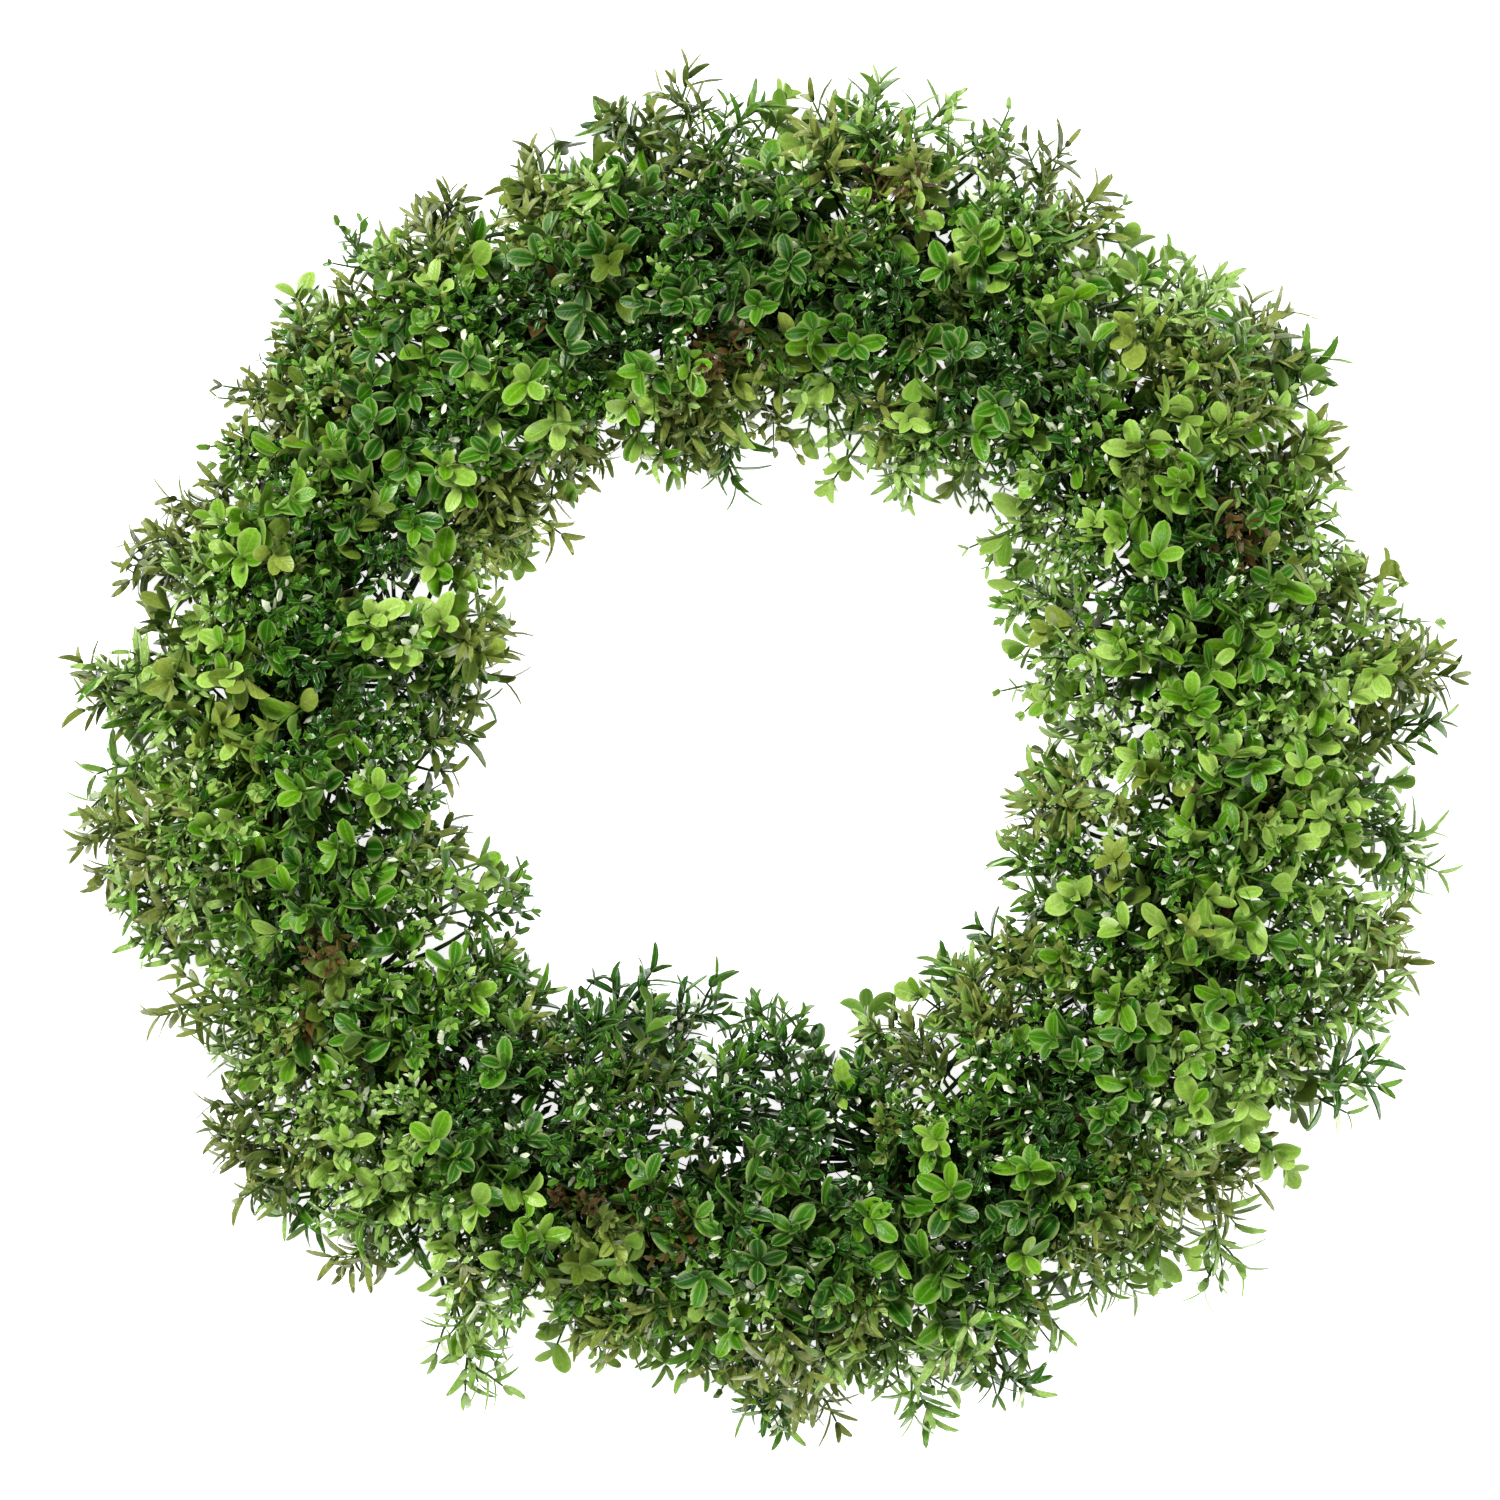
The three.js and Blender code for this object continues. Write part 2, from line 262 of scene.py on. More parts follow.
def barkFinish():
    look = barkLook
    finish = Finish("vineBark")
    place = finish.add("TexCoord", {}, out=3)  # object coordinates
    coarse = finish.grain(place, *look["coarse"])
    fibre = finish.grain(place, *look["fibre"])
    body = finish.blend(coarse.between(*look["paleRange"]), (*look["mid"], 1), (*look["pale"], 1))
    body = finish.blend(fibre.between(*look["deepRange"]) * look["deepShare"], body, (*look["deep"], 1))
    finish.wear(Base_Color=body, Roughness=look["roughness"] + look["roughnessSpread"] * fibre,
                Normal=finish.bump(coarse + fibre * look["fibreDepth"], *look["bump"]),
                Specular_IOR_Level=look["gloss"])
    return finish.material


# Leaves and twigs, as bmesh shapes in millimetres

broadLeaf = {"length": 15.3, "width": 9.0, "thickness": 0.7, "rise": 0.78, "fall": 0.58, "cup": 1.5,
             "arch": 0.16, "archFrom": 0.35, "stalk": 0.08, "thinFoot": 0.25, "tipRows": 1.35}
leafGrids = {"fine": (7, 2), "coarse": (3, 2)}  # rows and columns, near the face and deep inside
broadShapes = [{"slim": 1.0, "cup": 1.0, "arch": 1.0}, {"slim": 0.86, "cup": 1.7, "arch": 1.6},
               {"slim": 1.1, "cup": 0.5, "arch": 0.4}, {"slim": 0.94, "cup": -0.7, "arch": 2.2}]
fineLeaf = {"length": 6.8, "width": 3.7, "thickness": 0.9, "arch": 1.3, "bend": 0.7, "rings": 3}
sprayLeaf = {"length": 14.0, "width": 4.1, "thickness": 0.8, "arch": 4.6, "bend": 4.2, "rings": 5}
deepLeaf = {"length": 9.5, "width": 5.0, "thickness": 0.9, "arch": 1.3, "bend": 0.6, "rings": 2}
flatTop = 0.1  # the middles of a spindle's upper faces lie above this, in radii
sharpFold = 1.2  # the angle between two faces, in radians, past which their edge shows


def newShape():
    bm = bmesh.new()
    bm.loops.layers.uv.new(cardMap)
    return bm


def asMesh(bm, name):
    mesh = bpy.data.meshes.new(name)
    bm.to_mesh(mesh)
    bm.free()
    return mesh


def trianglesOf(mesh):
    return sum(len(face.vertices) - 2 for face in mesh.polygons)


def onCard(across, along, row, column=0):  # across runs from -1 to 1, along from 0 to 1
    return ((column + 0.5 + 0.5 * cardUse * across) / cards["columns"],
            (cardRows[row] + cards["margin"] + cardUse * along) / cards["rows"])


def layOnCard(bm, faces, row):  # while the leaf is still a square from -1 to 1
    uv = bm.loops.layers.uv[cardMap]
    for face in faces:
        for loop in face.loops:
            loop[uv].uv = onCard(loop.vert.co.x, (loop.vert.co.y + 1) / 2, row)


def broadLeafMesh(shape, grid):
    leaf = broadLeaf
    bm = newShape()
    rows, columns = leafGrids[grid]
    bmesh.ops.create_grid(bm, x_segments=columns, y_segments=rows, size=1, calc_uvs=False)
    top = bm.faces[:]
    layOnCard(bm, top, "broadTop")
    copy = bmesh.ops.duplicate(bm, geom=bm.verts[:] + bm.edges[:] + top)["geom"]
    back = [f for f in copy if isinstance(f, bmesh.types.BMFace)]
    layOnCard(bm, back, "broadBack")
    sides = {v: -1 for v in copy if isinstance(v, bmesh.types.BMVert)}
    peak = leaf["rise"] / (leaf["rise"] + leaf["fall"])
    highest = peak ** leaf["rise"] * (1 - peak) ** leaf["fall"]
    for vert in bm.verts:
        across, along = vert.co.x, (vert.co.y + 1) / 2
        along = 1 - (1 - along) ** leaf["tipRows"]
        half = max(leaf["stalk"] * (1 - along) ** 4,
                   along ** leaf["rise"] * (1 - along) ** leaf["fall"] / highest)
        belly = leaf["thickness"] / 2 * (1 - across ** 2) * min(1, leaf["thinFoot"] + 2 * half)
        belly = belly * (0 < along < 1)
        vert.co.x = across * half * leaf["width"] / 2 * shape["slim"]
        vert.co.y = along * leaf["length"]
        vert.co.z = (sides.get(vert, 1) * belly + leaf["cup"] * shape["cup"] * half * across ** 2
                     - leaf["arch"] * shape["arch"] * leaf["length"] * (along - leaf["archFrom"]) ** 2)
    bmesh.ops.reverse_faces(bm, faces=back)
    bmesh.ops.remove_doubles(bm, verts=bm.verts[:], dist=1e-4)
    finishLeaf(bm)
    return asMesh(bm, "broadLeaf")


def spindleMesh(leaf, side):  # a narrow leaf: an arched spindle bent to one side, with a keel below
    bm = newShape()
    uv = bm.loops.layers.uv[cardMap]
    bmesh.ops.create_uvsphere(bm, u_segments=3, v_segments=leaf["rings"], radius=1)
    bmesh.ops.rotate(bm, verts=bm.verts[:], matrix=Matrix.Rotation(math.pi / 2, 3, "Z"))
    bmesh.ops.rotate(bm, verts=bm.verts[:], matrix=Matrix.Rotation(-math.pi / 2, 3, "X"))
    widest, tall = math.cos(math.pi / 6), 1.5  # half the width of its three-sided section, and the height
    for face in bm.faces:
        row = "fineTop" if face.calc_center_median().z > flatTop else "fineBack"
        for loop in face.loops:
            loop[uv].uv = onCard(clamp(loop.vert.co.x / widest, -1, 1), (loop.vert.co.y + 1) / 2, row)
    for vert in bm.verts:
        along = (vert.co.y + 1) / 2
        vert.co.x = vert.co.x * leaf["width"] / 2 / widest + side * leaf["bend"] * along ** 2
        vert.co.z = vert.co.z * leaf["thickness"] / tall - leaf["arch"] * along ** 2
        vert.co.y = along * leaf["length"]
    finishLeaf(bm)
    return asMesh(bm, "narrowLeaf")


def finishLeaf(bm):
    for face in bm.faces:
        face.smooth = True
    for edge in bm.edges:
        if len(edge.link_faces) == 2 and edge.calc_face_angle() > sharpFold:
            edge.smooth = False


def addCopy(bm, mesh, matrix, tone=None, shift=0, family=None):
    # tone sets the cards' column, shift moves it, and family turns it olive or dry
    copy = mesh.copy()
    copy.transform(matrix)
    places = np.empty(len(copy.loops) * 2, np.float32)
    copy.uv_layers[cardMap].uv.foreach_get("vector", places)
    u = places[0::2] * cards["columns"]
    column = np.floor(u)
    if tone is not None:
        wanted = clamp(tone, tones["darkest"], tones["lightest"]) + 0 * column
    elif family:
        wanted = tones[family] + (column + shift > tones["middle"])
    else:  # the palest leaves stay pale in dark patches, among them the leaflets painted near white as glints
        wanted = np.clip(column + shift, tones["darkest"], tones["lightest"] - 1)
        wanted = np.where(column == tones["lightest"], column, wanted)
    places[0::2] = (u - column + wanted) / cards["columns"]
    copy.uv_layers.remove(copy.uv_layers[cardMap])  # still its source's, so the copy gets its own
    copy.uv_layers.new(name=cardMap, do_init=False).uv.foreach_set("vector", places)
    bm.from_mesh(copy)
    bpy.data.meshes.remove(copy)


def laidAlong(direction, facing):  # a turn that lays +Y along direction with +Z towards facing
    y = direction.normalized()
    x = y.cross(facing).normalized()
    return Matrix((x, y, x.cross(y))).transposed().to_4x4()


def leafPlace(root, axis, spin, tilt, size, roll=0.0):  # on a stem: turned round it, tilted from it
    side = axis.orthogonal().normalized()
    side.rotate(Matrix.Rotation(spin, 3, axis))
    direction = axis * math.cos(tilt) + side * math.sin(tilt)
    facing = axis * math.sin(tilt) - side * math.cos(tilt)
    facing.rotate(Matrix.Rotation(roll, 3, direction))
    return Matrix.Translation(root) @ laidAlong(direction, facing) @ Matrix.Scale(size, 4)


def growTube(bm, points, startRadius, endRadius, sides, column):  # a closed twig, tapering to its end
    uv = bm.loops.layers.uv[cardMap]
    last = len(points) - 1
    heading = (points[1] - points[0]).normalized()
    turn = heading.to_track_quat("Z", "X").to_matrix().to_4x4()
    made = bmesh.ops.create_circle(bm, segments=sides, radius=startRadius,
                                   matrix=Matrix.Translation(points[0]) @ turn)
    verts = made["verts"]
    order = {v: k for k, v in enumerate(verts)}
    level = {v: 0 for v in verts}
    faces = [bm.faces.new(verts[::-1])]
    edges = list(dict.fromkeys(e for v in verts for e in v.link_edges))
    radius = startRadius
    for step in range(1, last + 1):
        out = bmesh.ops.extrude_edge_only(bm, edges=edges)["geom"]
        fresh = [v for v in out if isinstance(v, bmesh.types.BMVert)]
        edges = [e for e in out if isinstance(e, bmesh.types.BMEdge)]
        faces += [f for f in out if isinstance(f, bmesh.types.BMFace)]
        for vert in fresh:
            below = next(e.other_vert(vert) for e in vert.link_edges if e.other_vert(vert) in order)
            order[vert], level[vert] = order[below], step
        ahead = (points[min(step + 1, last)] - points[step - 1]).normalized()
        wanted = mix(startRadius, endRadius, step / last)
        bend = heading.rotation_difference(ahead).to_matrix().to_4x4()
        move = (Matrix.Translation(points[step]) @ bend @ Matrix.Scale(wanted / radius, 4)
                @ Matrix.Translation(-points[step - 1]))
        bmesh.ops.transform(bm, matrix=move, verts=fresh)
        heading, radius, verts = ahead, wanted, fresh
    ends = sorted(verts, key=order.get)
    faces.append(bm.faces.new(ends))
    for face in faces:
        face.smooth = True
        face.material_index = 1
        for loop in face.loops:
            across = abs(2 * order[loop.vert] / sides - 1)
            loop[uv].uv = onCard(across, level[loop.vert] / last, "twig", column)


def curvePoints(start, startPull, endPull, end, steps):
    points = []
    for step in range(steps + 1):
        t = step / steps
        points.append(start * (1 - t) ** 3 + startPull * 3 * t * (1 - t) ** 2
                      + endPull * 3 * t * t * (1 - t) + end * t ** 3)
    return points


def swaying(shoot, draw):  # a shoot's own stem, upright from the origin
    sway = shoot["sway"] * draw.random()
    turn = draw.random() * fullTurn
    side = Vector((math.cos(turn), math.sin(turn), 0))
    shares = [step / shoot["steps"] for step in range(shoot["steps"] + 1)]
    return [Vector((0, 0, shoot["stem"] * share)) + side * sway * share ** 2 for share in shares]


def pointAlong(points, share):  # the point at a share of the way, and the heading there
    place = clamp(share, 0, 0.9999) * (len(points) - 1)
    index = int(place)
    heading = (points[index + 1] - points[index]).normalized()
    return points[index].lerp(points[index + 1], place - index), heading


# Shoots: what each twig of a sprig ends in. Tilts are degrees, spins and rolls radians

broadShoot = {
    "stem": 31, "stemRadius": 0.75, "endRadius": 0.45, "sway": 7, "sides": 4, "steps": 4, "column": 9,
    "pairs": 3, "firstLeaf": 0.16, "lastLeaf": 0.93, "tiltLow": 74, "tiltHigh": 52, "tiltStray": (-26, 18),
    "sizeLow": 1.06, "sizeHigh": 0.84, "sizeStray": (0.82, 1.14), "toneLow": 2.8, "toneHigh": 5.2,
    "toneStray": 3.4, "spinStray": 0.4, "rollStray": 0.7, "turnStray": 0.2,
    "tipLeaves": 2, "tipTilt": 34, "tipTiltStray": (-14, 26), "tipSize": 0.72, "tipSizeStray": (0.8, 1.15),
    "tipTone": 5.6, "tipToneStray": 3,
}
# pale is the share of leaflets painted near white and smaller, as glints
fineShoot = {"stem": 33, "twigs": 4, "firstTwig": 0.25, "twigLength": 16, "twigTilt": 44, "firstLeaf": 0.1,
             "spacing": 3.0, "tiltLow": 62, "tiltHigh": 30, "tipLeaves": 3, "stemRadius": 0.7, "sway": 6,
             "sides": 4, "steps": 4, "tone": 3.2, "twigRadius": 0.45, "pale": 0.19}
edgeShoot = {"stem": 38, "twigs": 4, "firstTwig": 0.3, "twigLength": 18, "twigTilt": 40, "firstLeaf": 0.15,
             "spacing": 3.4, "tiltLow": 58, "tiltHigh": 34, "tipLeaves": 2, "stemRadius": 0.75, "sway": 8,
             "sides": 4, "steps": 4, "tone": 3.6, "twigRadius": 0.7, "pale": 0.15}
spray = {"stem": 42, "twigs": 5, "firstTwig": 0.26, "twigLength": 16, "twigTilt": 42, "firstLeaf": 0.4,
         "spacing": 6.4, "tiltLow": 46, "tiltHigh": 30, "tipLeaves": 2, "stemRadius": 0.8, "sway": 10,
         "sides": 5, "steps": 4, "tone": 3.6, "twigRadius": 0.75, "pale": 0.1}
deepShoot = {"stem": 33, "twigs": 4, "firstTwig": 0.2, "twigLength": 16, "twigTilt": 44, "firstLeaf": 0.1,
             "spacing": 3.6, "tiltLow": 66, "tiltHigh": 34, "tipLeaves": 2, "stemRadius": 0.7, "sway": 6,
             "sides": 3, "steps": 2, "tone": 3.4, "twigRadius": 0.5, "pale": 0.05}
leafStray = {  # for all the narrow leaves
    "tilt": 10, "sizeLow": 1.05, "sizeHigh": 0.78, "size": (0.8, 1.2), "toneRise": 2.4, "tone": 2,
    "glintLeafletSize": 0.8, "spin": 0.3, "roll": 0.5, "turn": 0.2,
    "tipTilt": (16, 30), "tipSize": (0.6, 0.9), "tipRise": 3.6, "tipTone": (-1, 2),
}
fork = {  # how the stem of a fine shoot forks into twigs
    "tiltStray": 9, "longest": 1.1, "shortest": 0.7, "lengthStray": (0.85, 1.1), "upturn": 0.2,
    "startPull": 0.3, "endPull": 0.75, "stemEnd": 0.4, "twigEnd": 0.6, "twigSides": 3,
    "stemColumn": 7, "twigColumn": 6,
}


def makeBroadShoot(seed, leaves):
    draw = random.Random(seed)
    shoot = broadShoot
    bm = newShape()
    stem = swaying(shoot, draw)
    growTube(bm, stem, shoot["stemRadius"], shoot["endRadius"], shoot["sides"], shoot["column"])
    spin = draw.random() * fullTurn
    for pair in range(shoot["pairs"]):
        share = pair / (shoot["pairs"] - 1)
        root, axis = pointAlong(stem, mix(shoot["firstLeaf"], shoot["lastLeaf"], share))
        for side in (0, math.pi):
            tilt = mix(shoot["tiltLow"], shoot["tiltHigh"], share) + draw.uniform(*shoot["tiltStray"])
            size = mix(shoot["sizeLow"], shoot["sizeHigh"], share) * draw.uniform(*shoot["sizeStray"])
            turned = spin + side + stray(draw, shoot["spinStray"])
            place = leafPlace(root, axis, turned, math.radians(tilt), size, stray(draw, shoot["rollStray"]))
            leaf = draw.choice(leaves)
            tone = mix(shoot["toneLow"], shoot["toneHigh"], share) + stray(draw, shoot["toneStray"])
            addCopy(bm, leaf, place, tone=round(tone))
        spin += math.pi / 2 + stray(draw, shoot["turnStray"])
    root, axis = stem[-1], (stem[-1] - stem[-2]).normalized()
    for number in range(shoot["tipLeaves"]):
        size = shoot["tipSize"] * draw.uniform(*shoot["tipSizeStray"])
        tilt = math.radians(shoot["tipTilt"] + draw.uniform(*shoot["tipTiltStray"]))
        place = leafPlace(root, axis, spin + number * fullTurn / shoot["tipLeaves"], tilt, size)
        leaf = draw.choice(leaves)
        addCopy(bm, leaf, place, tone=round(shoot["tipTone"] + stray(draw, shoot["tipToneStray"])))
    return asMesh(bm, f"broadShoot{seed}")


def leafyTwig(bm, twig, leaves, shoot, draw):  # opposite pairs, each turned a quarter from the last
    length = sum((b - a).length for a, b in zip(twig, twig[1:]))
    pairs = max(2, round(length * (1 - shoot["firstLeaf"]) / shoot["spacing"] / 2))
    spin = draw.random() * fullTurn
    for pair in range(pairs):
        share = pair / pairs
        root, axis = pointAlong(twig, mix(shoot["firstLeaf"], 1, share))
        for side in (0, math.pi):
            tilt = mix(shoot["tiltLow"], shoot["tiltHigh"], share) + stray(draw, leafStray["tilt"])
            size = mix(leafStray["sizeLow"], leafStray["sizeHigh"], share)
            size = size * draw.uniform(*leafStray["size"])
            tone = round(shoot["tone"] + leafStray["toneRise"] * share + stray(draw, leafStray["tone"]))
            # some leaflets are painted glints: near white and smaller
            if draw.random() < shoot["pale"]:
                tone, size = tones["lightest"], size * leafStray["glintLeafletSize"]
            turned = spin + side + stray(draw, leafStray["spin"])
            place = leafPlace(root, axis, turned, math.radians(tilt), size, stray(draw, leafStray["roll"]))
            addCopy(bm, draw.choice(leaves), place, tone=tone)
        spin += math.pi / 2 + stray(draw, leafStray["turn"])
    root, axis = twig[-1], (twig[-1] - twig[-2]).normalized()
    for number in range(shoot["tipLeaves"]):
        turned = spin + number * fullTurn / shoot["tipLeaves"]
        tilt = math.radians(draw.uniform(*leafStray["tipTilt"]))
        place = leafPlace(root, axis, turned, tilt, draw.uniform(*leafStray["tipSize"]))
        leaf = draw.choice(leaves)
        tone = shoot["tone"] + leafStray["tipRise"] + draw.uniform(*leafStray["tipTone"])
        addCopy(bm, leaf, place, tone=round(tone))


def forkedTwigs(stem, shoot, draw):  # twigs up a stem, each a golden turn from the last
    twigs = []
    spin = draw.random() * fullTurn
    for number in range(shoot["twigs"]):
        share = number / shoot["twigs"]
        root, axis = pointAlong(stem, mix(shoot["firstTwig"], 1, share))
        side = axis.orthogonal().normalized()
        side.rotate(Matrix.Rotation(spin, 3, axis))
        lean = math.radians(shoot["twigTilt"] + stray(draw, fork["tiltStray"]))
        heading = axis * math.cos(lean) + side * math.sin(lean)
        length = shoot["twigLength"] * mix(fork["longest"], fork["shortest"], share)
        length = length * draw.uniform(*fork["lengthStray"])
        end = root + heading * length + axis * length * fork["upturn"]
        startPull = root + heading * length * fork["startPull"]
        endPull = root + heading * length * fork["endPull"]
        twigs.append(curvePoints(root, startPull, endPull, end, shoot["steps"] // 2))
        spin += goldenTurn
    return twigs


def makeFineShoot(seed, shoot, leaves):
    draw = random.Random(seed)
    bm = newShape()
    stem = swaying(shoot, draw)
    twigs = forkedTwigs(stem, shoot, draw)
    growTube(bm, stem, shoot["stemRadius"], fork["stemEnd"], shoot["sides"], fork["stemColumn"])
    for twig in twigs:
        end = shoot["twigRadius"] * fork["twigEnd"]
        growTube(bm, twig, shoot["twigRadius"], end, fork["twigSides"], fork["twigColumn"])
    for twig in twigs:
        leafyTwig(bm, twig, leaves, shoot, draw)
    leafyTwig(bm, stem[shoot["steps"] // 3:], leaves, shoot, draw)
    return asMesh(bm, f"fineShoot{seed}")


nearLeaves = [broadLeafMesh(shape, "fine") for shape in broadShapes]
deepLeaves = [broadLeafMesh(shape, "coarse") for shape in broadShapes]
fineLeaves, deepFineLeaves, sprayLeaves = ([spindleMesh(leaf, side) for side in (-1, 1)]
                                           for leaf in (fineLeaf, deepLeaf, sprayLeaf))
shoots = {
    "boxwood": [makeBroadShoot(seed, nearLeaves) for seed in range(10)],
    "boxwoodDeep": [makeBroadShoot(seed, deepLeaves) for seed in range(10, 15)],
    "fine": [makeFineShoot(seed, fineShoot, fineLeaves) for seed in range(20, 30)],
    "fineDeep": [makeFineShoot(seed, deepShoot, deepFineLeaves) for seed in range(30, 35)],
    "fineEdge": [makeFineShoot(seed, edgeShoot, fineLeaves) for seed in range(40, 46)],
    "spray": [makeFineShoot(seed, spray, sprayLeaves) for seed in range(50, 58)],
}
print("shoots:", {name: trianglesOf(group[0]) for name, group in shoots.items()})


# Sprigs: where each is seated on the ring, and the shoots that it carries

sprigRows = {  # lean is the angle round the ring's section: 0 outward, 90 up, 180 inward
    "outer": {"sprigs": 14, "lean": 14, "turn": 0.0},
    "front": {"sprigs": 13, "lean": 90, "turn": 0.5},
    "inner": {"sprigs": 9, "lean": 166, "turn": 0.25},
}
foliage = {
    "seed": 7, "rings": 16, "lowLean": -8, "highLean": 188, "spacing": 16.4, "jitter": 0.45,
    "frontDepth": 79, "sideDepth": 75, "fullness": 1.5, "shootMiddle": 30, "sprigMiddle": 40,
    "deepShare": 0.42, "deepReach": 0.72, "underShare": 0.42, "underReach": 0.52, "underEnds": 0.8,
}
growth = {"depth": (0.93, 1.03), "size": (0.88, 1.1), "deepSize": 0.92}
# how far a shoot turns away from straight out, how much of it must still point out, and what pulls it back
wander = {"pull": 0.25, "atEdge": 0.4, "inFront": 0.62, "leastOutAtEdge": 0.62, "leastOutInFront": 0.5}
fading = {"faceEnds": 0.8, "outlineStarts": 0.4, "over": 0.5}  # in cosines of the lean
outline = {
    "starts": 0.7, "plain": 0.2, "sprays": 0.48, "sprayReach": 8, "sprayStray": (0.3, 1.3),
    "innerSpray": 0.5, "outerBack": 7, "innerBack": 2, "deepShare": 0.4, "shoulder": 10,
    "outerTufts": 36, "innerTufts": 22, "tuftSize": 8, "highest": 8, "lowest": -16,
}
# how far the leaf mass reaches from the middle, by degrees from the right, against the clock
outerEdge = [
    (0, 274), (12, 281), (22, 255), (31, 270), (40, 278), (50, 269), (60, 262), (67, 282), (76, 266),
    (84, 278), (95, 258), (101, 279), (110, 264), (120, 252), (128, 272), (137, 260), (146, 270),
    (160, 252), (166, 267), (174, 272), (182, 251), (189, 268), (208, 251), (220, 273), (232, 260),
    (240, 252), (248, 279), (260, 248), (274, 276), (281, 257), (289, 276), (302, 257), (311, 280),
    (317, 265), (324, 277), (344, 272), (352, 263),
]
innerEdge = [
    (0, 113), (18, 104), (30, 111), (52, 126), (62, 114), (76, 111), (84, 129), (104, 112), (114, 122),
    (126, 120), (136, 128), (156, 102), (172, 121), (182, 112), (194, 129), (208, 104), (226, 124),
    (240, 107), (252, 103), (270, 92), (280, 110), (288, 126), (300, 102), (314, 108), (324, 122),
    (336, 107), (352, 100),
]
broadShares = [0.66, 0.62, 0.6, 0.52, 0.46, 0.44, 0.54, 0.6]  # of broad shoots in front, every 45 degrees
broadAtEdge = 0.45  # as a part of the share in front
stalk = {"root": 9, "rootRadius": 1.25, "endRadius": 0.8, "steps": 4, "sides": 4, "column": 2,
         "startPull": 0.3, "endPull": 0.25}
droop = {"start": 9, "least": 0.8}

# Tones over the wreath, in columns of the cards, and the places in millimetres that stand out
shading = {
    "base": 1.5, "stray": 1.5, "deepAgeAndShade": 2.5, "wideNoise": 0.018, "wide": 6.4, "closeNoise": 0.05,
    "close": 4.6, "sides": 1.5, "front": 0.3, "outer": 3.2, "outerTop": 2.5, "inner": 1.2,
    "innerTop": 2.6, "innerTurn": 0.35,
}
patchShift = {"fine": 3.0, "boxwood": 11.0}  # in the noise, so that each kind has patches of its own
drySpots = {"size": 11, "above": 40, "places": [
    (-66, 187), (-50, -180), (197, -20), (-168, -84), (199, 86), (-7, 151), (58, 228)]}
oliveSpots = {"size": 21, "elsewhere": 0.06, "share": 0.45, "sprays": 0.3, "places": [
    (-39, -123), (-47, -204), (54, 236), (159, 180), (-15, 127), (236, 127), (-204, 147), (-240, 71),
    (-212, 14), (-103, 54), (-192, -111), (228, -111), (115, -236), (-55, 256), (107, 256),
    (-103, 236), (260, 6)]}
# painted shade: leaves darkened round these places, where the foliage has dark shaded hollows
paintedShadeSpots = {"size": 29, "depth": 8.2, "places": [
    (-72, 177), (-18, -156), (-90, -135), (-126, 126), (117, -138), (18, -168), (-156, 87), (3, 198),
    (87, 153), (51, 174), (-177, 21), (-30, 216), (87, -195), (-168, -54), (198, -87), (189, 75),
    (-45, -128), (12, -138)]}


def onRing(angle, lean, out):
    radius = ring["radius"] + out * math.cos(lean)
    height = ring["height"] + out * math.sin(lean)
    return Vector((radius * math.cos(angle), radius * math.sin(angle), height))


def sprigSeats():
    seats = []
    for rowIndex, (rowName, row) in enumerate(sprigRows.items()):
        for index in range(row["sprigs"]):
            kind = "boxwood" if (index + rowIndex) % 2 == 0 else "fine"
            angle = (index + row["turn"]) * fullTurn / row["sprigs"]
            seats.append({"node": f"{kind}_sprig_{rowName}_{index + 1:02d}", "kind": kind,
                          "angle": angle, "lean": math.radians(row["lean"]), "shoots": []})
    return seats


def facing(lean):  # 1 where the shoots face the viewer, 0 at the outline
    return clamp((fading["faceEnds"] - abs(math.cos(lean))) / fading["over"], 0, 1)


def nearOutline(lean):  # 0 in front, 1 at the outline
    return clamp((abs(math.cos(lean)) - fading["outlineStarts"]) / fading["over"], 0, 1)


def readRound(points, angle):  # smooth reading of (degrees, value) points that go round the wreath
    degrees = math.degrees(angle) % 360
    later = next((k for k, point in enumerate(points) if point[0] > degrees), len(points))
    start, low = points[later - 1]
    end, high = points[later] if later < len(points) else (360 + points[0][0], points[0][1])
    share = (degrees - start) / (end - start)
    return mix(low, high, share * share * (3 - 2 * share))


def depthAt(angle, lean):  # how far the leaf mass stands out from the ring's middle line
    outward = readRound(outerEdge, angle) - ring["radius"]
    inward = ring["radius"] - readRound(innerEdge, angle)
    level = math.cos(lean)
    side = outward if level > 0 else inward
    shoulder = outline["shoulder"] * max(0, math.sin(2 * lean)) if level > 0 else 0
    return mix(foliage["frontDepth"], side, abs(level) ** foliage["fullness"]) - shoulder


def tuftAt(angle, lean):  # how the outline stands out in tufts, with notches between them
    level = math.cos(lean)
    radius = ring["radius"] + math.copysign(foliage["sideDepth"], level)
    place = Vector((math.cos(angle), math.sin(angle), 0)) * radius
    swing = noise.noise(place / outline["tuftSize"]) * outline["outerTufts" if level > 0 else "innerTufts"]
    return clamp(swing, outline["lowest"], outline["highest"]) * nearOutline(lean)


def closeness(point, spots):  # 1 at a spot, fading to 0 round it
    return max(math.exp(-((point.x - x) ** 2 + (point.y - y) ** 2) / spots["size"] ** 2)
               for x, y in spots["places"])


def isNear(point, spots):
    return any(math.hypot(point.x - x, point.y - y) < spots["size"] for x, y in spots["places"])


def patchTone(place, kind):
    wide = noise.noise(place * shading["wideNoise"] + Vector((patchShift[kind], 0, 0))) * shading["wide"]
    close = noise.noise(place * shading["closeNoise"]) * shading["close"]
    # less the painted shade round the dark spots
    return wide + close - paintedShadeSpots["depth"] * closeness(place, paintedShadeSpots)


